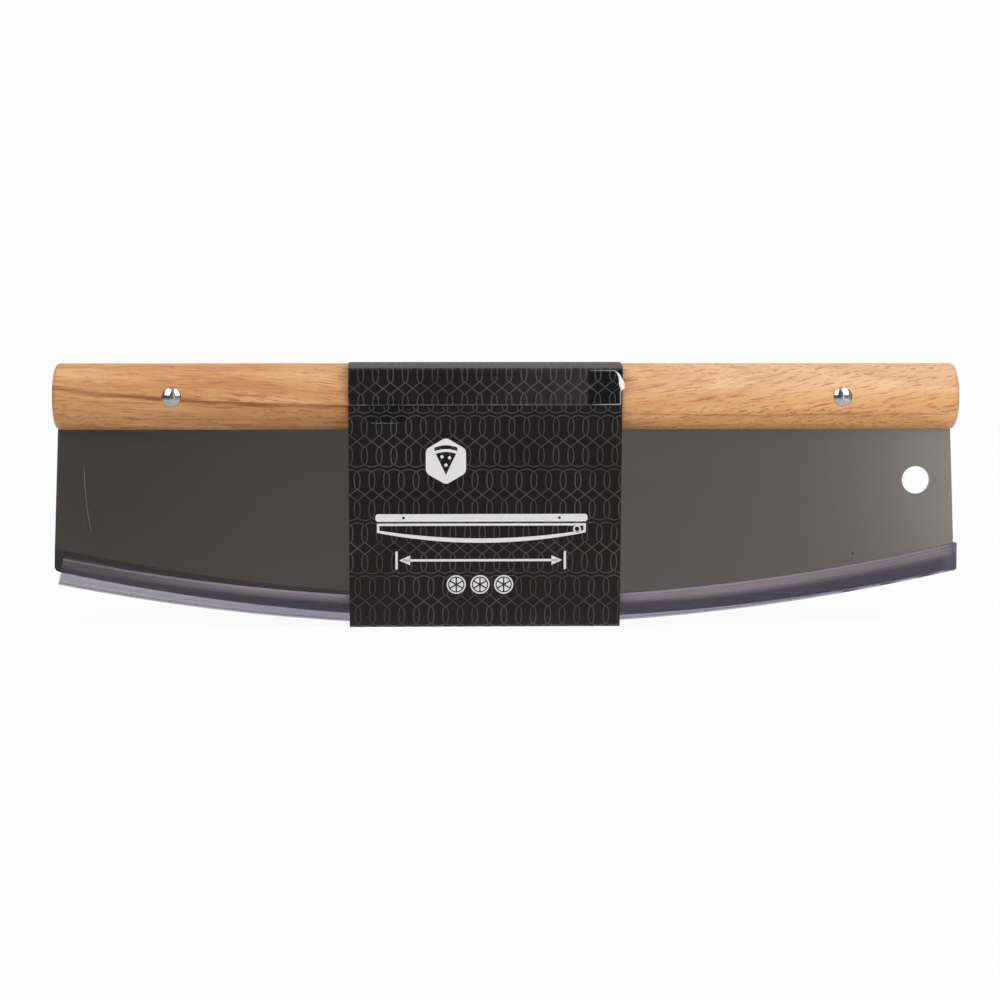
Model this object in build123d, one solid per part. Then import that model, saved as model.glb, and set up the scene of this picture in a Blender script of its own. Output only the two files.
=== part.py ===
from build123d import *
import os
from math import asin, atan, cos, degrees, radians, sin, sqrt

# A rocking pizza knife with its edge guard and its card sleeve, in millimetres.
# X runs along the handle, the front faces -Y and Z is up. The origin is the middle of the handle's axis.

# Handle: a turned dowel with a full-length slot sawn into its underside
handle_length = 348.4
handle_diameter = 25.7
end_crown = 0.5
end_edge_radius = 1.8
slot_roof_height = 6.0
slot_side_clearance = 0.05

# Blade: one stamped sheet, wider at its lower corners than at the wood
blade_thickness = 1.5
blade_shift = -0.3
wood_overhang = 1.3
corner_spread = 1.7
tang_height = 5.7
edge_drop = 86.3
edge_radius = 809.0
corner_radius = 2.2
tang_corner_radius = 3.0
bevel_height = 8.7
edge_thickness = 0.3
hole_diameter = 10.7
hole_from_side = 14.1
hole_drop = 32.7

# Rivets: a tubular half from the back and a pin half from the front, both with domed heads
rivet_from_end = 45.8
head_diameter = 7.2
head_rim = 0.45
head_dome = 1.1
seat_depth = 0.9
seat_side_clearance = 0.1
tube_diameter = 4.0
tube_bore = 2.6
tube_end_gap = 1.0
pin_side_clearance = 0.05
handle_hole_clearance = 0.1
tang_hole_clearance = 0.2

# Edge guard: a clear plastic channel, bent a little flatter than the blade's edge
guard_overhang = 1.0
guard_height = 10.4
guard_leaf = 0.6
guard_web = 0.6
guard_side_clearance = 0.1
guard_corner_clearance = 0.15
guard_unbend = 21.0
guard_lean = 9.7
guard_slip = 1.2
guard_lip_length = 1.2
guard_lip_flare = 0.3
guard_bottom_radius = 0.5
guard_end_radius = 1.6

# Card sleeve: a creased band round the knife, its flap over the front
sleeve_width = 104.6
sleeve_shift = -8.8
card_thickness = 0.4
card_lap_gap = 0.05
sleeve_rivet_clearance = 0.3
sleeve_top_clearance = 0.1
sleeve_fold_clearance = 0.4
sleeve_bottom_clearance = 0.1
crease_drop = 1.95
tucked_end_drop = 3.0
flap_length = 14.0

# Clear tapes: one across the flap's lower edge, one folded round the flap's right end
tape_thickness = 0.1
left_tape_width = 16.0
left_tape_inset = 6.8
left_tape_on_flap = 2.1
left_tape_on_panel = 7.0
tape_step_run = 0.4
right_tape_width = 13.2
right_tape_height = 13.4
right_tape_foot_gap = 0.1
right_tape_return = 2.5
tape_corner_radius = 2.2

# One overrun serves all cuts
cut_overrun = 5.0

handle_radius = handle_diameter / 2
wood_line = -handle_radius
rivet_seat = handle_radius - seat_depth
rivet_top = rivet_seat + head_rim + head_dome
rivet_x = handle_length / 2 - rivet_from_end

# The blade is a little shorter than the wood and its edge is an arc about this centre
width_at_wood = handle_length - 2 * wood_overhang
width_at_corners = width_at_wood + 2 * corner_spread
edge_centre_height = edge_radius - edge_drop
corner_height = edge_centre_height - sqrt(edge_radius**2 - (width_at_corners / 2) ** 2)
side_flare = (width_at_corners - width_at_wood) / 2 / (wood_line - corner_height)

# The guard's bend has its own centre, from which it just clears the blade's right corner
guard_length = width_at_corners + 2 * guard_overhang
guard_radius = edge_radius + guard_unbend
guard_centre_x = blade_shift - guard_lean
guard_reach = guard_radius - guard_web - guard_corner_clearance
guard_corner_run = blade_shift + width_at_corners / 2 - guard_centre_x
guard_centre_height = corner_height + sqrt(guard_reach**2 - guard_corner_run**2)
guard_lowest = guard_centre_height - guard_radius
guard_half_gap = blade_thickness / 2 + guard_side_clearance
guard_half_width = guard_half_gap + guard_leaf

# The sleeve's flat panels lean in from the rivet heads to the fold under the guard
sleeve_floor = guard_lowest - sleeve_bottom_clearance
sleeve_half_depth = rivet_top + sleeve_rivet_clearance
fold_half_depth = guard_half_width + sleeve_fold_clearance
panel_lean = atan((sleeve_half_depth - fold_half_depth) / -sleeve_floor)
flap_offset = card_thickness + card_lap_gap

# The flap, its tucked end and both tapes are placed from the crease near the handle's top
crease_height = handle_radius - crease_drop
crease_rise = crease_height / cos(panel_lean)
flap_end_rise = crease_rise - flap_length


def blade_half_width(height):
    """Half the blade's width at a height, along its straight flared sides."""
    return width_at_wood / 2 + side_flare * (wood_line - height)


def across(x):
    """A plane whose normal points to the front, at a place along the handle."""
    return Plane(origin=(x, 0, 0), x_dir=(1, 0, 0), z_dir=(0, -1, 0))


def make_handle():
    half = handle_length / 2
    shoulder = (half - end_crown, handle_radius)
    outline = TangentArc((half, 0), shoulder, tangent=(0, 1))
    outline += Line(shoulder, (0, handle_radius))
    outline += Line((0, handle_radius), (0, 0))
    outline += Line((0, 0), (half, 0))
    profile = make_face(outline)
    corner = profile.vertices().group_by(Axis.Y)[-1].sort_by(Axis.X)[-1]
    profile = fillet(corner, end_edge_radius)
    profile += mirror(profile, about=Plane.YZ)
    handle = revolve(Plane.XZ * profile, axis=Axis.X)
    slot_depth = slot_roof_height + handle_radius + cut_overrun
    slot_width = blade_thickness + 2 * slot_side_clearance
    slot_box = Box(handle_length + 2 * cut_overrun, slot_width, slot_depth)
    handle -= Pos(0, 0, slot_roof_height - slot_depth / 2) * slot_box
    for side in (-1, 1):
        handle -= rivet_passage(side * rivet_x)
    return handle


def rivet_passage(x):
    """The cross hole and the two round seats that one rivet needs in the wood."""
    hole = Cylinder(tube_diameter / 2 + handle_hole_clearance, handle_diameter + 2 * cut_overrun)
    seat_length = seat_depth + cut_overrun
    seat = Cylinder(head_diameter / 2 + seat_side_clearance, seat_length)
    for side in (-1, 1):
        hole += Pos(0, 0, side * (rivet_seat + seat_length / 2)) * seat
    return across(x) * hole


def rivet_head():
    """A domed head that stands on its seat, about the local Z axis."""
    rim = (head_diameter / 2, rivet_seat + head_rim)
    outline = Line((0, rivet_seat), (head_diameter / 2, rivet_seat))
    outline += Line((head_diameter / 2, rivet_seat), rim)
    outline += TangentArc((0, rivet_top), rim, tangent=(1, 0))
    outline += Line((0, rivet_top), (0, rivet_seat))
    return revolve(Plane.XZ * make_face(outline), axis=Axis.Z)


def stem(radius, start, end):
    """A round stem along the local Z axis, between two heights."""
    return Pos(0, 0, (start + end) / 2) * Cylinder(radius, abs(end - start))


def make_rivet_pin():
    tip = tube_end_gap - rivet_seat + tube_end_gap
    return rivet_head() + stem(tube_bore / 2 - pin_side_clearance, rivet_seat, tip)


def make_rivet_socket():
    mouth = tube_end_gap - rivet_seat
    socket = rivet_head() + stem(tube_diameter / 2, rivet_seat, mouth)
    return socket - stem(tube_bore / 2, rivet_seat - tube_end_gap, mouth - cut_overrun)


def bent_about(outline, centre_x, centre_height, start=0, arc=360):
    """Turns an outline in radius and Y about a bend's centre, from an angle where zero is straight down."""
    centre = (centre_x, 0, centre_height)
    plane = Plane(origin=centre, x_dir=(0, 0, -1), z_dir=(1, 0, 0))
    axis = Axis(centre, (0, -1, 0))
    return revolve(plane * outline, axis=axis, revolution_arc=arc).rotate(axis, start)


def bevel_wedge(side):
    """The ring that grinds one side of the edge down to its thin rim."""
    face_y = blade_thickness / 2
    fall = (face_y - edge_thickness / 2) * (bevel_height + cut_overrun) / bevel_height
    inner = edge_radius - bevel_height
    outer = edge_radius + cut_overrun
    points = [
        (inner, face_y),
        (outer, face_y - fall),
        (outer, face_y + cut_overrun),
        (inner, face_y + cut_overrun),
    ]
    outline = make_face(Polyline(*[(r, side * y) for r, y in points], close=True))
    return bent_about(outline, blade_shift, edge_centre_height)


def blade_outline():
    """The stamped sheet seen from the front: flared sides, arc edge and rounded corners."""
    low = -edge_drop - cut_overrun
    top_half = blade_half_width(tang_height)
    low_half = blade_half_width(low)
    points = [(-top_half, tang_height), (top_half, tang_height), (low_half, low), (-low_half, low)]
    sheet = make_face(Polyline(*points, close=True))
    sheet &= Pos(0, edge_centre_height) * Circle(edge_radius)
    sheet = fillet(sheet.vertices().group_by(Axis.Y)[0], corner_radius)
    return fillet(sheet.vertices().group_by(Axis.Y)[-1], tang_corner_radius)


def make_blade():
    blade = extrude(across(blade_shift) * blade_outline(), blade_thickness / 2, both=True)
    for side in (-1, 1):
        blade -= bevel_wedge(side)
        tang_hole = Cylinder(tube_diameter / 2 + tang_hole_clearance, blade_thickness + cut_overrun)
        blade -= across(side * rivet_x) * tang_hole
    hole_x = blade_shift + blade_half_width(-hole_drop) - hole_from_side
    hanging_hole = Cylinder(hole_diameter / 2, blade_thickness + cut_overrun)
    return blade - across(hole_x) * Pos(0, -hole_drop) * hanging_hole


def guard_profile():
    """The channel's section in radius and Y: web outside, two leaves with flared lips."""
    mouth = guard_radius - guard_height
    lip = mouth + guard_lip_length
    floor = guard_radius - guard_web
    half = [
        (guard_radius, guard_half_width),
        (lip, guard_half_width),
        (mouth, guard_half_width + guard_lip_flare),
        (mouth, guard_half_gap + guard_lip_flare),
        (lip, guard_half_gap),
        (floor, guard_half_gap),
    ]
    points = half + [(r, -y) for r, y in reversed(half)]
    profile = make_face(Polyline(*points, close=True))
    return fillet(profile.vertices().group_by(Axis.X)[-1], guard_bottom_radius)


def guard_end_trim(side_x):
    """What trims the strip's right end upright at a place and rounds its lower corner."""
    corner_x = side_x - guard_end_radius
    corner_reach = guard_radius - guard_end_radius
    turn = asin((corner_x - guard_centre_x) / corner_reach)
    height = guard_centre_height - corner_reach * cos(turn)
    beyond = guard_end_radius + cut_overrun
    low = (corner_x + beyond * sin(turn), height - beyond * cos(turn))
    far_x = side_x + cut_overrun
    corner = make_face(Polyline((corner_x, height), low, (far_x, low[1]), (far_x, height), close=True))
    corner -= Pos(corner_x, height) * Circle(guard_end_radius)
    rise = guard_height + cut_overrun
    corner += Pos(side_x + cut_overrun / 2, height + rise / 2) * Rectangle(cut_overrun, rise)
    return extrude(across(0) * corner, guard_half_width + cut_overrun, both=True)


def make_guard():
    arc = degrees(guard_length / guard_radius)
    middle = degrees(asin((guard_slip - guard_centre_x) / guard_radius))
    start = middle - arc / 2
    side_x = guard_centre_x + guard_radius * sin(radians(start + arc))
    lip_run = side_x + guard_end_radius - guard_centre_x
    end = degrees(asin(lip_run / (guard_radius - guard_height)))
    guard = bent_about(guard_profile(), guard_centre_x, guard_centre_height, start, end - start)
    return guard - guard_end_trim(side_x)


def front_panel_point(rise, offset):
    """A point of the sleeve's section: so far up the front panel, so far out from its inner face."""
    y = -sleeve_half_depth - rise * sin(panel_lean) - offset * cos(panel_lean)
    z = rise * cos(panel_lean) - offset * sin(panel_lean)
    return (y, z)


def strip(path, outer_side, thickness, start_x, width):
    """A strip of sheet along a path in the YZ plane, thickened to its outer side and drawn along X."""
    section = make_face(offset(path, thickness, side=outer_side).edges())
    return extrude(Plane.YZ.offset(start_x) * section, width)


def make_sleeve():
    front_fold = (-fold_half_depth, sleeve_floor)
    back_fold = (fold_half_depth, sleeve_floor)
    inner_crease = front_panel_point(crease_rise, 0)
    back_crease = (-inner_crease[0], inner_crease[1])
    flap_crease = front_panel_point(crease_rise, flap_offset)
    top = (0, handle_radius + sleeve_top_clearance)
    path = Line(front_panel_point(crease_rise - tucked_end_drop, 0), front_fold)
    path += Line(front_fold, back_fold)
    path += Line(back_fold, back_crease)
    path += ThreePointArc(back_crease, top, flap_crease)
    path += Line(flap_crease, front_panel_point(flap_end_rise, flap_offset))
    start_x = sleeve_shift - sleeve_width / 2
    return strip(path, Side.LEFT, card_thickness, start_x, sleeve_width)


def make_left_tape():
    on_flap = flap_offset + card_thickness
    path = Polyline(
        front_panel_point(flap_end_rise + left_tape_on_flap, on_flap),
        front_panel_point(flap_end_rise, on_flap),
        front_panel_point(flap_end_rise - tape_step_run, card_thickness),
        front_panel_point(flap_end_rise - left_tape_on_panel, card_thickness),
    )
    start_x = sleeve_shift - sleeve_width / 2 + left_tape_inset
    return strip(path, Side.RIGHT, tape_thickness, start_x, left_tape_width)


def make_right_tape():
    edge_x = sleeve_shift + sleeve_width / 2
    face_y, face_z = front_panel_point(0, flap_offset + card_thickness)
    normal = (0, -cos(panel_lean), -sin(panel_lean))
    panel = Plane(origin=(edge_x, face_y, face_z), x_dir=(1, 0, 0), z_dir=normal)
    stack = flap_offset + card_thickness
    centre_rise = flap_end_rise + right_tape_foot_gap + right_tape_height / 2
    leaf_width = right_tape_width + tape_thickness
    leaf = Rectangle(leaf_width, right_tape_height)
    leaf = Pos(leaf_width / 2 - right_tape_width, centre_rise) * leaf
    leaf = fillet(leaf.vertices().group_by(Axis.X)[-1], tape_corner_radius)
    straight = right_tape_height - 2 * tape_corner_radius
    wrap = Pos(tape_thickness / 2, centre_rise, -stack / 2) * Box(tape_thickness, straight, stack)
    back_width = right_tape_return + tape_thickness
    back = Box(back_width, straight, tape_thickness)
    back = Pos(tape_thickness - back_width / 2, centre_rise, -stack - tape_thickness / 2) * back
    return panel * (extrude(leaf, tape_thickness) + wrap + back)


def write(name, shape):
    shape.label = name
    export_step(shape, "parts/" + name + ".step")


os.makedirs("parts", exist_ok=True)
write("handle", make_handle())
write("blade", make_blade())
for side_name, side in (("left", -1), ("right", 1)):
    front = across(side * rivet_x)
    write(side_name + "_rivet_pin", front * make_rivet_pin())
    write(side_name + "_rivet_socket", front * Rot(180, 0, 0) * make_rivet_socket())
write("edge_guard", make_guard())
write("card_sleeve", make_sleeve())
write("left_tape", make_left_tape())
write("right_tape", make_right_tape())
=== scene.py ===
import math

import bmesh
import bpy
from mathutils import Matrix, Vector
from mathutils.geometry import tessellate_polygon


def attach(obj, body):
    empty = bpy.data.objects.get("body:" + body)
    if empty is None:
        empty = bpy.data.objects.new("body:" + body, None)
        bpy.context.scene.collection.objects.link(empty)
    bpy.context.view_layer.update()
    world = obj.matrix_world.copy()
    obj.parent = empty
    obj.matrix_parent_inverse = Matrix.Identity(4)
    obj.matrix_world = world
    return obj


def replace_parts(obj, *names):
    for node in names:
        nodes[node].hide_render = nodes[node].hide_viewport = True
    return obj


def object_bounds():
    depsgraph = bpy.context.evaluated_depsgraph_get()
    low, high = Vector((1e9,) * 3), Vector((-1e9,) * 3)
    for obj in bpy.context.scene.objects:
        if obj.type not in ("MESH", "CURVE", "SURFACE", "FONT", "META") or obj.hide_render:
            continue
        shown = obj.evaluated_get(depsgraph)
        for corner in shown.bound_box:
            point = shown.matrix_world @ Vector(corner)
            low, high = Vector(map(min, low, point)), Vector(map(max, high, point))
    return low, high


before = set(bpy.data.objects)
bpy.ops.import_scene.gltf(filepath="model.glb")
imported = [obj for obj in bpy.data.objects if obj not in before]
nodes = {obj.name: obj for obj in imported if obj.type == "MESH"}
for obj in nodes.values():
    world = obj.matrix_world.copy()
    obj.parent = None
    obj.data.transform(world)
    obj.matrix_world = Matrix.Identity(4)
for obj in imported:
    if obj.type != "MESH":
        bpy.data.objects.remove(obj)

# Looks of a rocking pizza knife with its edge guard and printed card sleeve.
# Metres, the front towards -Y and Z up.
cad_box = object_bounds()
MM = 0.001

# Sizes that the materials, the prints and the tapes share with the CAD model, in millimetres
HANDLE_END = 174.2
PANEL_TOP_DEPTH = 13.8
PANEL_FOLD_DEPTH = 1.85
PANEL_DROP = 88.824
CARD = 0.4
FLAP_FACE = 2 * CARD + 0.05
CREASE_Z = 10.9
FLAP_END = -3.0
SLEEVE_LEFT = -61.1
SLEEVE_RIGHT = 43.5
LEFT_TAPE_START = SLEEVE_LEFT + 6.8
RIGHT_TAPE_START = SLEEVE_RIGHT - 13.2
LEAN = math.atan((PANEL_TOP_DEPTH - PANEL_FOLD_DEPTH) / PANEL_DROP)
BLADE_CENTRE = (-0.3, 722.7)
BLADE_RADIUS = 809.0
BEVEL = 8.7
GUARD_CENTRE = (-10.0, 741.276)
GUARD_RADIUS = 830.0
GUARD_HEIGHT = 10.4

# How white the room is behind the object, and where the lamps stand, in metres
ROOM_WHITE = 0.985
LAMP_DISTANCE = 1.5
LAMP_WIDTH = 0.95
LAMP_HEIGHT = 1.15


# ---------------------------------------------------------------- node trees


def rgb(red, green, blue):
    """A colour written as it looks on a screen, 0 to 255, as linear light."""
    shares = [c / 255 for c in (red, green, blue)]
    return tuple(c / 12.92 if c <= 0.04045 else ((c + 0.055) / 1.055) ** 2.4 for c in shares) + (1.0,)


class Wire:
    """One output of a node tree, which takes part in plain arithmetic."""

    def __init__(self, tree, socket):
        self.tree = tree
        self.socket = socket

    def __add__(self, other):
        return self.tree.math("ADD", self, other)

    def __radd__(self, other):
        return self.tree.math("ADD", other, self)

    def __sub__(self, other):
        return self.tree.math("SUBTRACT", self, other)

    def __rsub__(self, other):
        return self.tree.math("SUBTRACT", other, self)

    def __mul__(self, other):
        return self.tree.math("MULTIPLY", self, other)

    def __rmul__(self, other):
        return self.tree.math("MULTIPLY", other, self)

    def __truediv__(self, other):
        return self.tree.math("DIVIDE", self, other)

    def __pow__(self, other):
        return self.tree.math("POWER", self, other)

    def __abs__(self):
        return self.tree.math("ABSOLUTE", self)

    def sqrt(self):
        return self.tree.math("SQRT", self)

    def round(self):
        return self.tree.math("ROUND", self)

    def floor(self):
        return self.tree.math("FLOOR", self)

    def over(self, other):
        return self.tree.math("GREATER_THAN", self, other)

    def most(self, other):
        return self.tree.math("MAXIMUM", self, other)

    def least(self, other):
        return self.tree.math("MINIMUM", self, other)

    def clamped(self):
        return self.tree.math("ADD", self, 0.0, clamp=True)

    def ramp(self, low, high, start=0.0, end=1.0, smooth=True):
        """start below low, end above high, and a soft step between."""
        node = self.tree.add("ShaderNodeMapRange")
        node.interpolation_type = "SMOOTHSTEP" if smooth else "LINEAR"
        self.tree.feed(node.inputs["Value"], self)
        self.tree.feed(node.inputs["From Min"], low)
        self.tree.feed(node.inputs["From Max"], high)
        self.tree.feed(node.inputs["To Min"], start)
        self.tree.feed(node.inputs["To Max"], end)
        return Wire(self.tree, node.outputs["Result"])


class Tree:
    """A material's or the world's node tree, built with short calls."""

    def __init__(self, owner):
        owner.use_nodes = True
        self.nodes = owner.node_tree.nodes
        self.links = owner.node_tree.links
        self.nodes.clear()

    def add(self, kind):
        return self.nodes.new(kind)

    def feed(self, socket, value):
        if isinstance(value, Wire):
            self.links.new(value.socket, socket)
        elif value is not None:
            socket.default_value = value

    def math(self, operation, a, b=None, clamp=False):
        node = self.add("ShaderNodeMath")
        node.operation = operation
        node.use_clamp = clamp
        self.feed(node.inputs[0], a)
        self.feed(node.inputs[1], b)
        return Wire(self, node.outputs[0])

    def place(self):
        """The object's own coordinates in millimetres, as three wires."""
        node = self.add("ShaderNodeTexCoord")
        return self.split(self.scaled(Wire(self, node.outputs["Object"]), (1.0 / MM,) * 3))

    def facing(self):
        """The surface's own normal, as three wires."""
        node = self.add("ShaderNodeTexCoord")
        return self.split(Wire(self, node.outputs["Normal"]))

    def split(self, vector):
        node = self.add("ShaderNodeSeparateXYZ")
        self.feed(node.inputs[0], vector)
        return tuple(Wire(self, node.outputs[i]) for i in range(3))

    def join(self, x, y, z):
        node = self.add("ShaderNodeCombineXYZ")
        for i, value in enumerate((x, y, z)):
            self.feed(node.inputs[i], value)
        return Wire(self, node.outputs[0])

    def scaled(self, vector, factors):
        node = self.add("ShaderNodeVectorMath")
        node.operation = "MULTIPLY"
        self.feed(node.inputs[0], vector)
        node.inputs[1].default_value = factors
        return Wire(self, node.outputs[0])

    def noise(self, x, y, z, detail=2.0, rough=0.5, distort=0.0):
        """Cloudy noise, 0 to 1, at a place given in its own units."""
        node = self.add("ShaderNodeTexNoise")
        self.feed(node.inputs["Vector"], self.join(x, y, z))
        node.inputs["Scale"].default_value = 1.0
        node.inputs["Detail"].default_value = detail
        node.inputs["Roughness"].default_value = rough
        node.inputs["Distortion"].default_value = distort
        return Wire(self, node.outputs["Fac"])

    def even_noise(self, scale, detail=2.0, rough=0.5):
        """Cloudy noise that is as wide as it is high, by the object's own millimetres times a scale."""
        x, y, z = self.place()
        return self.noise(x * scale, y * scale, z * scale, detail=detail, rough=rough)

    def cells(self, x, y, z):
        """How far a place is from the nearest of the scattered points, about one to a unit cube."""
        node = self.add("ShaderNodeTexVoronoi")
        self.feed(node.inputs["Vector"], self.join(x, y, z))
        node.inputs["Scale"].default_value = 1.0
        node.inputs["Randomness"].default_value = 1.0
        return Wire(self, node.outputs["Distance"])

    def mix(self, share, first, second):
        node = self.add("ShaderNodeMix")
        node.data_type = "RGBA"
        self.feed(node.inputs["Factor"], share)
        self.feed(node.inputs[6], first)
        self.feed(node.inputs[7], second)
        return Wire(self, node.outputs[2])

    def colours(self, value, *stops):
        node = self.add("ShaderNodeValToRGB")
        self.feed(node.inputs[0], value)
        marks = node.color_ramp.elements
        while len(marks) < len(stops):
            marks.new(0.5)
        for mark, (where, colour) in zip(marks, stops):
            mark.position = where
            mark.color = colour
        return Wire(self, node.outputs["Color"])

    def bump(self, height, strength, distance):
        node = self.add("ShaderNodeBump")
        node.inputs["Strength"].default_value = strength
        node.inputs["Distance"].default_value = distance
        self.feed(node.inputs["Height"], height)
        return Wire(self, node.outputs["Normal"])

    def surface(self, **inputs):
        """The material's shader, with the sockets that are named here."""
        node = self.add("ShaderNodeBsdfPrincipled")
        output = self.add("ShaderNodeOutputMaterial")
        self.links.new(node.outputs[0], output.inputs["Surface"])
        for name, value in inputs.items():
            self.feed(node.inputs[name.replace("_", " ")], value)


def material(name, build):
    look = bpy.data.materials.new(name)
    build(Tree(look))
    return look


def reach(x, z, centre):
    """How far a place lies from a centre, seen from the front."""
    return ((x - centre[0]) ** 2.0 + (z - centre[1]) ** 2.0).sqrt()


def placed(name, data):
    """A new object in the scene."""
    thing = bpy.data.objects.new(name, data)
    bpy.context.scene.collection.objects.link(thing)
    return thing


# ---------------------------------------------------------------- materials


def oak(tree):
    x, y, z = tree.place()
    # The grain falls a little to the right on the left half, and rises on the right half
    wander = tree.noise(x * 0.013, y * 0.05, z * 0.06, detail=3.0) - 0.5
    turn = (x + 20.0).most(0.0)
    soft = 60.0
    climb = (turn * turn + soft * soft).sqrt() - soft
    height = z + x * 0.062 - climb * 0.29 + wander * 7.0
    depth = y + wander * 4.0
    # Growth rings about a centre below and behind the handle, with dark late wood
    ring_centre = (-26.0, 19.0)
    ring_width = 4.6
    blur = tree.noise(x * 0.03, y * 0.6, z * 0.6, detail=4.0)
    year = reach(height, depth, ring_centre) / ring_width + blur * 0.6
    late = (year - year.floor()) ** 2.2
    tint = tree.noise(x * 0.011, height * 0.17, depth * 0.17, detail=4.0)
    base = tree.colours(
        tint,
        (0.32, rgb(200, 141, 87)),
        (0.45, rgb(209, 152, 97)),
        (0.57, rgb(217, 163, 107)),
        (0.70, rgb(225, 177, 124)),
    )
    # The right half is painted paler, most of all high up, as painted light; low down it is painted
    # lighter and more yellow, as painted fill light against the shading there
    pale = x.ramp(-20, 110, 0.0, 0.68) * z.ramp(-3, 6, 0.35, 1.0)
    painted_light_low = x.ramp(-20, 60) * z.ramp(-5, 8, 0.6, 0.0)
    base = tree.mix(pale, base, rgb(244, 204, 160))
    base = tree.mix(painted_light_low, base, rgb(253, 188, 122))
    base = tree.mix(late * 0.30, base, rgb(186, 118, 66))
    # Strands of fibre, light and dark, about a millimetre wide
    strand = tree.noise(x * 0.045, height * 0.85, depth * 0.85, detail=5.0, rough=0.7)
    base = tree.mix(strand.ramp(0.50, 0.72, 0.0, 0.50), base, rgb(176, 108, 60))
    base = tree.mix(strand.ramp(0.28, 0.47, 0.38, 0.0), base, rgb(246, 206, 158))
    # Flecks and pores: short dark dashes along the grain, with more pores in patches and low down
    dash = tree.noise(x * 0.12, height * 1.45, depth * 1.45, detail=3.0, rough=0.6)
    base = tree.mix(dash.ramp(0.53, 0.67, 0.0, 0.72), base, rgb(172, 98, 50))
    spot = tree.cells(x * 0.22, height * 1.3, depth * 1.3)
    patch = tree.noise(x * 0.035, height * 0.22, depth * 0.22)
    porous = (patch + z.ramp(-6, 2, 0.06, 0.0)).ramp(0.46, 0.58) * z.ramp(-7, 5, 1.0, 0.35)
    pore = spot.ramp(0.12, 0.32, 1.0, 0.0) * porous
    base = tree.mix(pore * 0.66, base, rgb(150, 76, 36))
    # A thin dark seam low on the right half
    seam = abs(z + 6.8 + wander * 4.0).ramp(0.1, 0.6, 1.0, 0.0) * x.ramp(30, 60) * patch.ramp(0.36, 0.5)
    base = tree.mix(seam * 0.36, base, rgb(150, 88, 50))
    # One dark reddish streak on the left half, with a darker, flecked zone below it
    ragged = tree.noise(x * 0.05, z * 0.9, y * 0.9, detail=5.0, rough=0.7) - 0.5
    along = x + 171.6
    line = z - 3.2 + along * 0.1115 - along * along * 0.000446 + ragged * 3.6
    front = y.ramp(-4.0, 2.0, 1.0, 0.0)
    run = x.ramp(-56.0, -30.0, 1.0, 0.0)
    body = tree.noise(x * 0.028, z * 0.3, y * 0.3, detail=3.0).ramp(0.32, 0.58, 0.5, 1.0)
    streak = abs(line).ramp(0.1, 1.5, 1.0, 0.0) * front * run * body
    under = line * -1.0
    below = under.ramp(-1.2, 0.8) * under.ramp(1.5, 8.0, 1.0, 0.0) * front * run
    base = tree.mix(below * 0.30, base, rgb(176, 112, 66))
    base = tree.mix(streak * 0.82, base, rgb(132, 70, 34))
    # The ends are darker, for they show the wood across its grain
    end = abs(x).ramp(HANDLE_END - 2.4, HANDLE_END - 0.8)
    base = tree.mix(end * 0.25, base, rgb(150, 98, 60))
    rough = strand.ramp(0.3, 0.8, 0.36, 0.52) + pore * 0.12
    normal = tree.bump(strand * 0.5 - pore * 0.7 - dash * 0.5, 0.35, 0.00015)
    tree.surface(Base_Color=base, Roughness=rough, Normal=normal, Specular_IOR_Level=0.45)


def brushed_steel(tree):
    x, y, z = tree.place()
    fine = tree.noise(x * 0.035, y * 0.5, z * 5.5, detail=4.0, rough=0.7)
    cloud = tree.noise(x * 0.03, y * 0.1, z * 0.05, detail=4.0, rough=0.6)
    bevel_line = BLADE_RADIUS - BEVEL
    ground = reach(x, z, BLADE_CENTRE).ramp(bevel_line - 0.15, bevel_line + 0.15)
    base = tree.mix(fine, rgb(169, 159, 154), rgb(179, 169, 164))
    base = tree.mix(cloud.ramp(0.35, 0.7, 0.0, 0.25), base, rgb(156, 151, 149))
    # A long faint scratch, some pale specks and one dark nick
    bend = x + 163.0 + (z + 40.0) * 0.02 - ((z + 28.0) ** 2.0) * 0.0036
    scratch = abs(bend).ramp(0.04, 0.16, 1.0, 0.0)
    scratch = scratch * z.ramp(-52.5, -50.0) * z.ramp(-30.0, -24.0, 1.0, 0.0)
    speck = tree.cells(x * 0.055, 0.0, z * 0.055).ramp(0.012, 0.022, 1.0, 0.0)
    nick = reach(x, z, (134.5, -61.4)).ramp(0.3, 0.7, 1.0, 0.0)
    marks = (scratch + speck * 0.8).clamped()
    base = tree.mix(marks * 0.7, base, rgb(226, 224, 220))
    base = tree.mix(nick * 0.7, base, rgb(60, 56, 54))
    base = tree.mix(ground * 0.85, base, rgb(130, 124, 122))
    rough = fine.ramp(0.3, 0.7, 0.20, 0.22) + cloud.ramp(0.3, 0.7, -0.01, 0.01) + marks * 0.2
    normal = tree.bump(fine * 0.25 + marks * 0.4, 0.05, 0.00003)
    # The brushing runs along X, so highlights stretch up and down
    upright = tree.join(0.0, 0.0, 1.0)
    tree.surface(
        Base_Color=base,
        Roughness=rough,
        Normal=normal,
        Tangent=upright,
        Metallic=1.0,
        Anisotropic=0.9,
    )


def chrome(tree):
    x, y, z = tree.place()
    haze = tree.even_noise(1.3, detail=5.0, rough=0.6)
    wear = tree.noise(x * 9.0, y * 9.0, z * 2.0, detail=3.0)
    # The lower half is painted duller, greyer and less metallic: a painted reflection of the grey
    # surroundings below
    painted_reflection_share = z.ramp(-1.7, 0.0, 0.25, 1.0)
    bright = tree.mix(haze, rgb(214, 213, 212), rgb(236, 236, 236))
    painted_lower_reflection = tree.mix(haze.ramp(0.35, 0.65), rgb(176, 178, 180), rgb(206, 202, 202))
    base = tree.mix(painted_reflection_share, painted_lower_reflection, bright)
    rough = haze.ramp(0.3, 0.75, 0.07, 0.17) + wear.ramp(0.6, 0.8, 0.0, 0.12)
    normal = tree.bump(haze + wear * 0.2, 0.10, 0.00008)
    tree.surface(Base_Color=base, Roughness=rough, Normal=normal, Metallic=painted_reflection_share)


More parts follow.
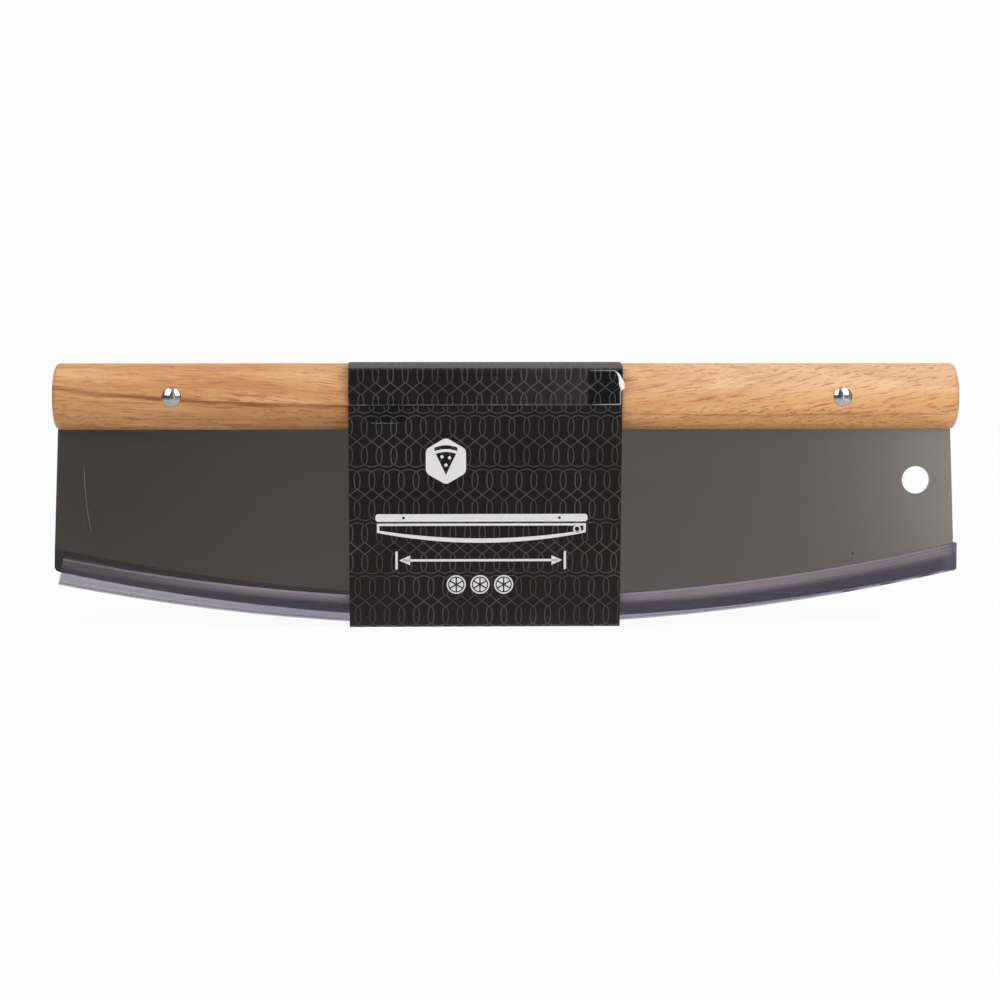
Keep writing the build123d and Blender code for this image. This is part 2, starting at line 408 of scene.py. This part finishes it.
def guard_plastic(tree):
    x, y, z = tree.place()
    # How far up the guard's height a place lies, 0 to 1, and how far inside the blade's edge, in mm
    rise = (GUARD_RADIUS - reach(x, z, GUARD_CENTRE)) / GUARD_HEIGHT
    edge = BLADE_RADIUS - reach(x, z, BLADE_CENTRE)
    streaks = tree.noise(x * 0.006, y, rise * 14.0, detail=4.0)
    mottle = tree.noise(x * 0.25, y, z * 0.5, detail=4.0)
    # From the bottom up: painted shade on the fold, clear leaves, a milky band of painted sheen that
    # grows to the lips, and a painted highlight line on them
    fold = rise.ramp(0.03, 0.11, 1.0, 0.0)
    low, high = x.ramp(20, 80, 0.62, 0.46), x.ramp(20, 80, 0.92, 0.76)
    milky_painted_sheen = rise.ramp(low, high) * x.ramp(-165, -95, 0.15, 1.0) * x.ramp(85, 160, 1.0, 0.7)
    painted_lip_highlight = rise.ramp(0.90, 0.94) * rise.ramp(0.97, 0.995, 1.0, 0.3)
    # It is darker at its right end, with a painted shadow of the sleeve left of it and painted shade
    # over the steel, and cooler off the steel
    end = x.ramp(169.0, 174.0)
    painted_shade_over_steel = edge.ramp(-0.4, 0.2) * rise.ramp(0.60, 0.74, 1.0, 0.0)
    cool = x.ramp(20, 80) * edge.ramp(-0.4, 0.2, 1.0, 0.0)
    painted_sleeve_shadow = x.ramp(-150, -65) * x.ramp(-60, -40, 1.0, 0.0)
    base = tree.mix(streaks.ramp(0.3, 0.7), rgb(164, 160, 167), rgb(190, 187, 192))
    base = tree.mix(cool * 0.5, base, rgb(172, 175, 190))
    # A painted shadow of the sleeve, then painted shade over the steel
    base = tree.mix(painted_sleeve_shadow * 0.22, base, rgb(138, 128, 150))
    base = tree.mix(painted_shade_over_steel * 0.55, base, rgb(148, 135, 170))
    # Painted shade on the fold, a milky band of painted sheen, and a painted highlight on the lips
    base = tree.mix(fold * 0.75, base, rgb(104, 98, 118))
    base = tree.mix(milky_painted_sheen * 0.9, base, rgb(178, 160, 172))
    base = tree.mix(painted_lip_highlight * 0.6, base, rgb(172, 162, 182))
    base = tree.mix(end * 0.85, base, rgb(88, 78, 102))
    clear = 0.955 - (milky_painted_sheen * 0.44 + end * 0.55 + painted_lip_highlight * 0.20)
    normal = tree.bump(streaks * 0.5 + mottle * 0.1, 0.006, 0.0001)
    tree.surface(
        Base_Color=base,
        Roughness=mottle.ramp(0.3, 0.7, 0.05, 0.09),
        Normal=normal,
        Transmission_Weight=clear,
        IOR=1.46,
    )


def net_of_lines(across, down):
    """The print's net: diamonds, narrow lenses and shallow arcs, each row half a column on."""
    column = 5.645
    row = 20.9
    diamond = 2.35
    lens = 6.6
    lens_half = 1.12
    arc = 1.0
    step = (down / row).round()
    shift = (step - (step / 2.0).floor() * 2.0) * 0.5
    turn = across / column - shift
    side = abs(turn - turn.round()) * column
    away = abs(down - step * row)
    in_diamond = (column / 2) * (1.0 - away / diamond)
    bulge = ((away - diamond) / lens).clamped()
    in_lens = ((bulge * (1.0 - bulge) * 4.0).most(0.0)) ** 0.38 * lens_half
    line = in_diamond.most(in_lens)
    # A diamond's sides slant, so the distance across them is less than the distance along X
    slope = 1.0 + away.ramp(diamond - 0.05, diamond + 0.3, 0.52, 0.0)
    gap = abs(side - line) / slope + (away - diamond - lens).most(0.0) * 3.0
    flat = 1.0 - side * (2.0 / column)
    swing = abs(away - (diamond + lens + arc) + flat * flat * arc)
    return gap.least(swing).ramp(0.08, 0.34, 1.0, 0.0)


def printed_card(tree):
    x, y, z = tree.place()
    along, _, up = tree.facing()
    level = abs(up).over(0.7)
    high = z.over(10.0)
    top = level * high
    # How far a point lies out from the front panel's inner face, and the flap that lies on the panel
    out = (y + PANEL_TOP_DEPTH) * -math.cos(LEAN) - z * math.sin(LEAN)
    flap = out.over(CARD + 0.02)
    # The net starts at a column and a row. On the flap and the top it is moved a little,
    # and it climbs to the right
    first_column, first_row = -55.1, 17.0
    climb = x * 0.0075 - 0.19
    down_panel = z * (-1.0 / math.cos(LEAN)) - first_row + flap * climb
    down_top = climb - (y + 15.7) * 1.006 - first_row - CREASE_Z / math.cos(LEAN)
    down = down_panel + (down_top - down_panel) * top
    wobble = tree.even_noise(0.12) - 0.5
    across = x - first_column + flap.most(top) * 4.02 + wobble * 0.25
    line = net_of_lines(across, down + wobble * 0.3)
    faint = tree.even_noise(0.05, detail=3.0)
    ink = tree.mix(faint, rgb(21, 18, 17), rgb(30, 27, 26))
    ink = tree.mix(z.ramp(-85, -30, 0.5, 0.0), ink, rgb(40, 37, 36))
    # The flap is painted lighter towards its right: a painted sheen
    ink = tree.mix(flap * x.ramp(-25, 35) * 0.6, ink, rgb(52, 50, 49))
    # Under the tapes the card looks wet: the black is deeper, and the lines stay clear
    right_taped = x.ramp(RIGHT_TAPE_START, RIGHT_TAPE_START + 0.3) * z.ramp(FLAP_END, FLAP_END + 0.2)
    right_taped = right_taped * z.ramp(10.1, 10.3, 1.0, 0.0) * flap
    left_taped = x.ramp(LEFT_TAPE_START, LEFT_TAPE_START + 3.3) * x.ramp(-41.5, -38.3, 0.6, 0.0)
    left_taped = left_taped * z.ramp(-10.0, -8.0) * z.ramp(FLAP_END, FLAP_END + 2.0, 1.0, 0.0)
    wet = (right_taped + left_taped * out.over(0.2)).clamped()
    ink = tree.mix(wet * 0.85, ink, rgb(8, 7, 7))
    # The top strip is painted lighter and browner: a painted sheen of light grazing it
    ink = tree.mix(top * 0.7, ink, rgb(66, 53, 47))
    trace = tree.mix(wet, rgb(92, 86, 86), rgb(98, 98, 102))
    # The top strip's lines are painted fainter, under its painted sheen
    shown = faint.ramp(0.3, 0.7, 0.44, 0.82) * (1.0 - top * 0.6)
    paint = tree.mix(line * shown, ink, trace)
    # Raw grey board shows on the cut edges
    sides = abs(along).over(0.7)
    ends = level * z.over(-60.0) * (1.0 - high)
    cut = sides.most(ends)
    fibres = tree.noise(x * 2.0, y * 6.0, z * 2.0, detail=3.0)
    board = tree.mix(fibres, rgb(66, 62, 60), rgb(104, 98, 94))
    # Folds wear a little lighter
    fold = z.ramp(-88.9, -88.2, 1.0, 0.0)
    crease = abs(z - CREASE_Z).ramp(0.1, 0.6, 1.0, 0.0)
    brim = (z - FLAP_END).ramp(0.15, 0.40, 1.0, 0.0) * flap
    scuff = tree.noise(x * 0.8, y * 2.0, z * 2.0, detail=4.0)
    worn = (fold * 0.5 + crease * 0.3) * scuff.ramp(0.35, 0.65) + brim * scuff.ramp(0.3, 0.7, 0.35, 0.9)
    paint = tree.mix(worn, paint, rgb(112, 106, 102))
    base = tree.mix(cut, paint, board)
    press = tree.even_noise(1.6, detail=4.0, rough=0.6)
    buckle = tree.even_noise(0.03, detail=1.0)
    rough = press.ramp(0.3, 0.7, 0.34, 0.44) - line * 0.05 - wet * 0.2
    rough = rough + cut * 0.3 + worn * 0.2 + top * 0.16
    normal = tree.bump(press * 0.12 * (1.0 - wet * 0.9) + buckle * 6.0, 0.5, 0.0002)
    tree.surface(Base_Color=base, Roughness=rough, Normal=normal, Specular_IOR_Level=0.32)


def white_ink(tree):
    grain = tree.even_noise(1.8, detail=4.0)
    cover = tree.even_noise(0.35, detail=3.0)
    base = tree.mix(cover, rgb(222, 220, 221), rgb(236, 234, 234))
    normal = tree.bump(grain, 0.10, 0.00003)
    tree.surface(Base_Color=base, Roughness=grain.ramp(0.3, 0.7, 0.38, 0.5), Normal=normal)


def clear_tape(tree):
    x, y, z = tree.place()
    ripple = tree.noise(x * 0.12, y * 0.12, z * 0.06, distort=0.6)
    fine = tree.noise(x * 3.0, y * 3.0, z * 0.6)
    base = tree.mix(fine, rgb(10, 10, 11), rgb(18, 18, 20))
    normal = tree.bump(ripple + fine * 0.004, 0.2, 0.0003)
    tree.surface(
        Base_Color=base,
        Roughness=ripple.ramp(0.3, 0.7, 0.05, 0.12),
        Normal=normal,
        Alpha=0.12,
    )


def painted_tape_glint(tree):
    """A painted glint on the tape's domed rim."""
    _, _, z = tree.place()
    ripple = tree.even_noise(0.5, detail=3.0)
    base = tree.mix(ripple.ramp(0.35, 0.65), rgb(242, 243, 244), rgb(252, 253, 254))
    # The painted highlight is white only on the bulge, and the rest is a painted grey glint
    white = z.ramp(2.4, 3.4) * z.ramp(8.6, 10.0, 1.0, 0.0)
    base = tree.mix(1.0 - white, base, rgb(150, 152, 156))
    normal = tree.bump(ripple, 0.3, 0.0001)
    tree.surface(Base_Color=base, Roughness=ripple.ramp(0.3, 0.7, 0.06, 0.14), Normal=normal)


LOOKS = {
    "oiled_oak": oak,
    "brushed_blade_steel": brushed_steel,
    "rivet_chrome": chrome,
    "violet_guard_plastic": guard_plastic,
    "black_printed_card": printed_card,
    "white_print": white_ink,
    "clear_tape_film": clear_tape,
    "tape_rim_painted_glint": painted_tape_glint,
}
made = {name: material(name, build) for name, build in LOOKS.items()}
WEARS = {
    "handle": "oiled_oak",
    "blade": "brushed_blade_steel",
    "left_rivet_pin": "rivet_chrome",
    "left_rivet_socket": "rivet_chrome",
    "right_rivet_pin": "rivet_chrome",
    "right_rivet_socket": "rivet_chrome",
    "edge_guard": "violet_guard_plastic",
    "card_sleeve": "black_printed_card",
    "left_tape": "clear_tape_film",
    "right_tape": "clear_tape_film",
}
for node_name, look in WEARS.items():
    slots = nodes[node_name].data.materials
    slots.clear()
    slots.append(made[look])


# ---------------------------------------------------------------- prints and tape rims on the sleeve


def on_panel(x, rise, out):
    """A place on the sleeve's front: X, up the panel and out from its inner face, in mm, as metres."""
    y = -PANEL_TOP_DEPTH - rise * math.sin(LEAN) - out * math.cos(LEAN)
    z = rise * math.cos(LEAN) - out * math.sin(LEAN)
    return Vector((x, y, z)) * MM


def around(centre, radius, angle):
    """The point at a radius and an angle, which is 0 straight up and grows to the right."""
    return centre[0] + radius * math.sin(angle), centre[1] + radius * math.cos(angle)


def disc(radius, centre, count=36):
    """A circle's points, once round from its top."""
    return [around(centre, radius, math.tau * i / count) for i in range(count)]


def soft_box(left, low, right, high, radius):
    """A rectangle with round corners."""
    count = 8
    points = []
    for turn, (x, z) in enumerate(((right, high), (right, low), (left, low), (left, high))):
        inner_x = x - math.copysign(radius, x - (left + right) / 2)
        inner_z = z - math.copysign(radius, z - (low + high) / 2)
        for i in range(count + 1):
            points.append(around((inner_x, inner_z), radius, math.pi / 2 * (turn + i / count)))
    return points


def soft_hexagon(half_width, half_height, centre, radius):
    """An upright hexagon with round corners."""
    count = 6
    corners = [(0, half_height), (half_width, half_height / 2), (half_width, -half_height / 2)]
    corners += [(-x, -z) for x, z in corners]
    points = []
    for i, corner in enumerate(corners):
        before, after = Vector(corners[i - 1]), Vector(corners[(i + 1) % 6])
        here = Vector(corner)
        start = here + (before - here).normalized() * radius
        end = here + (after - here).normalized() * radius
        for step in range(count + 1):
            share = step / count
            point = start * (1 - share) ** 2 + here * 2 * share * (1 - share) + end * share**2
            points.append((centre[0] + point.x, centre[1] + point.y))
    return points


def arch(x, rise, half, lift, steps):
    """A flat arch of points from left to right, over a place."""
    turns = [i / steps * 2 - 1 for i in range(steps + 1)]
    return [(x + half * turn, rise + lift * (1 - turn**2)) for turn in turns]


def printed(name, shapes):
    """A thin layer of white ink on the front panel. Each shape is an outline and the holes in it."""
    ink = 0.04
    mesh = bpy.data.meshes.new(name)
    places, faces = [], []
    for loops in shapes:
        flat = [[Vector((x, rise, 0.0)) for x, rise in loop] for loop in loops]
        first = len(places)
        count = sum(len(loop) for loop in loops)
        for out in (CARD, CARD + ink):
            places += [on_panel(p.x, p.y, out) for loop in flat for p in loop]
        for triangle in tessellate_polygon(flat):
            a, b, c = (first + count + i for i in triangle)
            facing = (places[b] - places[a]).cross(places[c] - places[a]).y
            faces.append((a, b, c) if facing < 0 else (a, c, b))
        start = first
        for loop in loops:
            for i in range(len(loop)):
                j = (i + 1) % len(loop)
                faces.append((start + i, start + j, start + count + j, start + count + i))
            start += len(loop)
    mesh.from_pydata(places, [], faces)
    mesh.materials.append(made["white_print"])
    piece = placed(name, mesh)
    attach(piece, "sleeve")


def badge():
    """A hexagon with the sign of a slice of pizza left open in it."""
    centre = (-23.9, -24.7)
    edge = soft_hexagon(7.7, 9.2, centre, 1.6)
    x, rise = centre
    topping = [(x, rise - 5.4)] + arch(x, rise + 2.9, 3.9, 0.7, 5)
    crust = arch(x, rise + 3.9, 4.4, 0.8, 8) + arch(x, rise + 5.3, 4.4, 0.9, 8)[::-1]
    dots = [[disc(0.62, (x + dx, rise + dz), 20)] for dx, dz in ((-1.5, 1.7), (1.4, 1.3), (0.0, -1.5))]
    return [[edge, topping, crust]] + dots


def knife_sign():
    """The knife itself: a handle with its rivets over an open blade."""
    left, right, top = -51.0, 30.6, -45.4
    bar = soft_box(left, top - 3.0, right, top, 1.1)
    middle = (left + right) / 2
    rivets = [disc(0.55, (middle + s * 30.0, top - 1.5), 18) for s in (-1, 1)]
    blade_top = top - 3.7

    def blade_line(inset):
        half = (right - left) / 2 - 0.6 - inset
        curve = arch(middle, blade_top - 3.6 + inset * 0.9, half, inset - 4.0, 24)[::-1]
        return [(middle - half, blade_top - inset), (middle + half, blade_top - inset)] + curve

    eye = (right - 4.0, blade_top - 2.2)
    ring = [disc(radius, eye, 20) for radius in (1.5, 0.9)]
    return [[bar] + rivets, [blade_line(0.0), blade_line(0.9)], ring]


def length_sign():
    """A line from end to end with an arrow at each end, as a drawing gives a length."""
    left, right, rise = -42.9, 22.0, -63.6
    half = 0.45
    shapes = [[soft_box(left + 2.5, rise - half, right - 2.5, rise + half, 0.2)]]
    for x, way in ((left, 1), (right, -1)):
        tip, tail = x + way * 1.0, x + way * 5.2
        shapes.append([[(tip, rise), (tail, rise + 1.9), (tail, rise - 1.9)]])
        shapes.append([soft_box(x - half, rise - 3.6, x + half, rise + 3.6, 0.3)])
    return shapes


def pizza_signs():
    """Three round pizzas, each cut in six."""
    slices, steps = 6, 4
    half = math.tau / slices / 2 - 0.10
    shapes = []
    for i in range(3):
        centre = (-19.9 + i * 9.15, -73.2)
        shapes.append([disc(3.7, centre), disc(3.15, centre)])
        for cut in range(slices):
            middle = math.tau * (cut + 0.5) / slices
            polar = [(0.55, middle)]
            polar += [(2.7, middle + half * (k / steps * 2 - 1)) for k in range(steps + 1)]
            shapes.append([[around(centre, radius, angle) for radius, angle in polar]])
    return shapes


for mark_name, mark in (
    ("badge_print", badge),
    ("knife_print", knife_sign),
    ("length_print", length_sign),
    ("pizza_print", pizza_signs),
):
    printed(mark_name, mark())


def sheet(name, look, grids):
    """A smooth sheet of tape on the sleeve, from grids of places."""
    mesh = bpy.data.meshes.new(name)
    places, faces = [], []
    for grid in grids:
        first, wide = len(places), len(grid[0])
        places += [place for row in grid for place in row]
        for i in range(len(grid) - 1):
            for k in range(wide - 1):
                a = first + i * wide + k
                faces.append((a, a + wide, a + wide + 1, a + 1))
    mesh.from_pydata(places, [], faces)
    mesh.materials.append(made[look])
    for face in mesh.polygons:
        face.use_smooth = True
    piece = placed(name, mesh)
    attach(piece, "sleeve")
    return piece


def rim(name, course):
    """A rim on the tape, domed across and coloured with a painted glint. Its course gives x, rise,
    width and how far out it lies.
    """
    domes = [(-0.5, 0.0), (-0.36, 0.75), (0.0, 1.0), (0.36, 0.75), (0.5, 0.0)]
    grid = []
    for i, (x, rise, width, out) in enumerate(course):
        before = Vector(course[max(i - 1, 0)][:2])
        after = Vector(course[min(i + 1, len(course) - 1)][:2])
        way = (after - before).normalized()
        high = 0.10 * min(width / 0.5, 1.6)
        grid.append([
            on_panel(x + way.y * side * width, rise - way.x * side * width, out + high * dome)
            for side, dome in domes
        ])
    sheet(name, "tape_rim_painted_glint", [grid])


def ripple(x, rise):
    """How far a film stands off at a place, in mm."""
    return 0.03 + 0.015 * (2 + math.sin(x * 1.3 + rise * 0.5) + math.sin(rise * 1.1 - x * 0.4))


def left_film():
    """The tape across the flap's lower edge: on the flap, over the step and on the panel."""
    course = [(2.1, FLAP_FACE), (1.1, FLAP_FACE), (0.3, FLAP_FACE), (-0.05, FLAP_FACE - 0.05)]
    course += [(-0.4, CARD + 0.12), (-0.9, CARD)]
    course += [(-1.6 - 0.9 * i, CARD) for i in range(7)]
    rows = []
    for i in range(21):
        x = LEFT_TAPE_START + 0.8 * i
        rows.append([on_panel(x, FLAP_END + drop, out + ripple(x, drop)) for drop, out in course])
    return sheet("left_tape_film", "clear_tape_film", [rows])


# The right tape's foot, its height up the panel and its round corner
TAPE_FOOT = FLAP_END + 0.1
TAPE_HEIGHT = 13.4
TAPE_CORNER = 2.2


def bulge(rise):
    """How far the right tape stands out past the card's edge."""
    return 0.15 + 0.75 * math.exp(-(((rise - 5.6) / 2.1) ** 2))


def right_film():
    """The tape round the flap's right end: a leaf on the flap, a loose fold and a leaf behind."""
    rows, columns = 27, 12
    start = RIGHT_TAPE_START
    leaf, fold = [], []
    for i in range(rows + 1):
        rise = TAPE_FOOT + TAPE_HEIGHT * i / rows
        over = max(rise - (TAPE_FOOT + TAPE_HEIGHT - TAPE_CORNER), 0.0)
        end = SLEEVE_RIGHT - TAPE_CORNER + math.sqrt(max(TAPE_CORNER**2 - over**2, 0.0))
        leaf.append([
            on_panel(start + (end - start) * k / columns, rise, FLAP_FACE + ripple(k, rise))
            for k in range(columns + 1)
        ])
        if over == 0.0:
            # Past the card's edge, round it and back behind the card
            past = bulge(rise)
            course = [(0.0, FLAP_FACE + ripple(columns, rise)), (past * 0.55, FLAP_FACE - 0.08)]
            course += [(past * 0.95, FLAP_FACE - 0.35), (past, 0.3), (past * 0.6, -0.02)]
            course += [(0.05, -0.1), (-1.2, -0.08), (-2.5, -0.08)]
            fold.append([on_panel(SLEEVE_RIGHT + x, rise, out) for x, out in course])
    return sheet("right_tape_film", "clear_tape_film", [leaf, fold])


def right_rim():
    """The right tape's rim with its painted glint: along its top, down its bulging fold and along its
    foot.
    """
    top = TAPE_FOOT + TAPE_HEIGHT - 0.13
    foot = TAPE_FOOT + 0.25
    # Each point is X from the sleeve's right side, height up the panel and width
    course = [(-12.6 + i * 1.02, top, 0.10 + 0.025 * i) for i in range(10)]
    course += [(-2.9, top - 0.15, 0.42), (-2.3, top - 0.6, 0.55)]
    course += [(-1.8, top - 1.2, 0.7), (-1.35, top - 1.9, 0.85)]
    course += [(-1.0, 7.5, 1.1), (-0.7, 6.7, 1.5), (-0.5, 6.1, 1.9), (-0.4, 5.5, 2.1)]
    course += [(-0.25, 4.8, 2.05), (-0.1, 4.1, 1.85), (-0.1, 3.6, 1.6)]
    course += [(-0.3, 3.2, 1.1), (-0.6, 2.85, 0.7)]
    course += [(-0.74, 2.4 - 0.6 * i, 0.6 - 0.012 * i) for i in range(8)]
    course += [(-0.78, foot + 0.25, 0.5), (-1.05, foot, 0.45)]
    course += [(-1.6 - i * 1.0, foot, max(0.44 - 0.03 * i, 0.1)) for i in range(11)]
    out = FLAP_FACE + 0.05
    rim("right_tape_glint_rim", [(SLEEVE_RIGHT + x, rise, width, out) for x, rise, width in course])


def left_rim():
    """A glint along part of the left tape's lower edge."""
    course = []
    for i in range(13):
        rise = FLAP_END - 6.9 + 0.06 * math.sin(i * 1.7)
        width = 0.10 + 0.05 * math.sin(i * 2.3)
        course.append((SLEEVE_LEFT + 8.6 + i * 0.9, rise, width, CARD + 0.05))
    rim("left_tape_glint_rim", course)


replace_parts(left_film(), "left_tape")
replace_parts(right_film(), "right_tape")
right_rim()
left_rim()


# ---------------------------------------------------------------- stage, light and camera


def ray_shares(tree):
    """Which rays ask: those that should find white, glossy ones, and diffuse ones."""
    node = tree.add("ShaderNodeLightPath")
    kinds = ("Is Camera Ray", "Is Transmission Ray", "Is Glossy Ray", "Is Diffuse Ray")
    seen, through, gloss, scattered = (Wire(tree, node.outputs[kind]) for kind in kinds)
    return seen.most(through), gloss, scattered


def room_in_gloss(x, y, more):
    """What metal and gloss show of the room, by direction: white behind the object, dim before it."""
    # The dim side brightens to the right in steps, up to an upright bright zone
    dim = 0.074 + x.ramp(-0.17, -0.05) * 0.063 + x.ramp(-0.02, 0.06) * 0.070
    dim = dim + x.ramp(0.08, 0.18) * 0.020 + more
    dim = dim + x.ramp(0.17, 0.235) * x.ramp(0.27, 0.36, 1.0, 0.0) * 0.43
    behind = y.ramp(-0.25, 0.2)
    return dim * (1.0 - behind) + behind * ROOM_WHITE


def white_stage():
    """A pale floor under the object, which keeps the object's soft shadow."""
    low = cad_box[0]
    mesh = bpy.data.meshes.new("pale_floor")
    shape = bmesh.new()
    radius, back, gap = 1.5, 1.0, 0.0002
    bmesh.ops.create_circle(shape, cap_ends=True, segments=96, radius=radius)
    bmesh.ops.translate(shape, verts=shape.verts, vec=(0, back, low.z - gap))
    shape.to_mesh(mesh)
    shape.free()
    look = bpy.data.materials.new("pale_floor")
    tree = Tree(look)
    straight, gloss, scattered = ray_shares(tree)
    x, y, z = tree.place()
    far = (x * x + y * y + z * z).sqrt()
    # The room's gradient goes on over the floor, along x
    side = x / 1200.0 + 0.02
    matt = tree.add("ShaderNodeBsdfDiffuse")
    pale = 0.10 * straight + 0.80 * scattered
    tree.feed(matt.inputs["Color"], tree.join(pale, pale, pale))
    glow = tree.add("ShaderNodeEmission")
    shown = straight * y.ramp(-500, 100, 0.872, 0.912, smooth=False)
    tree.feed(glow.inputs["Strength"], shown + gloss * room_in_gloss(side, y / far, 0.05))
    both = tree.add("ShaderNodeAddShader")
    output = tree.add("ShaderNodeOutputMaterial")
    tree.links.new(matt.outputs[0], both.inputs[0])
    tree.links.new(glow.outputs[0], both.inputs[1])
    tree.links.new(both.outputs[0], output.inputs["Surface"])
    mesh.materials.append(look)
    floor = placed("pale_floor", mesh)


def studio_world():
    """White to the camera, an even soft light on the object, and the room that its gloss shows."""
    world = bpy.data.worlds.new("studio")
    bpy.context.scene.world = world
    tree = Tree(world)
    ways = tree.add("ShaderNodeTexCoord")
    x, y, z = tree.split(Wire(tree, ways.outputs["Generated"]))
    straight, gloss, scattered = ray_shares(tree)
    soft = 0.48 + x.ramp(-0.8, 0.8) * 0.22
    room = room_in_gloss(x, y, z.ramp(0.6, 0.9) * 0.30)
    level = straight * ROOM_WHITE + gloss * room + scattered * soft
    sky = tree.add("ShaderNodeBackground")
    tree.feed(sky.inputs["Color"], tree.join(level, level, level))
    output = tree.add("ShaderNodeOutputWorld")
    tree.links.new(sky.outputs[0], output.inputs["Surface"])


def softbox(name, azimuth, elevation, power):
    """An area lamp that faces the object. Azimuth 0 is straight in front and 90 to the right."""
    turn, rise = math.radians(azimuth), math.radians(elevation)
    way = Vector((math.sin(turn) * math.cos(rise), -math.cos(turn) * math.cos(rise), math.sin(rise)))
    lamp = bpy.data.lights.new(name, "AREA")
    lamp.shape = "RECTANGLE"
    lamp.size = LAMP_WIDTH
    lamp.size_y = LAMP_HEIGHT
    lamp.energy = power
    holder = placed(name, lamp)
    holder.location = way * LAMP_DISTANCE
    holder.rotation_euler = (-way).to_track_quat("-Z", "Y").to_euler()
    holder.visible_camera = False


def camera():
    """The photograph's view: level but for a little, from just left of the middle."""
    distance = 0.9047
    turn, fall = math.radians(1.8), math.radians(1.5)
    way = Vector((math.sin(turn) * math.cos(fall), math.cos(turn) * math.cos(fall), -math.sin(fall)))
    lens = bpy.data.cameras.new("photo_camera")
    lens.sensor_width = 36.0
    lens.lens = 84.03
    lens.shift_x = -0.00743
    lens.shift_y = -0.1037
    lens.clip_start = 0.01
    holder = placed("photo_camera", lens)
    holder.location = way * -distance
    holder.rotation_euler = way.to_track_quat("-Z", "Y").to_euler()
    bpy.context.scene.camera = holder


white_stage()
studio_world()
softbox("left_softbox", -38, 33, power=5.8)
softbox("right_softbox", 38, 33, power=8.4)
camera()
bpy.context.scene.view_settings.view_transform = "Standard"
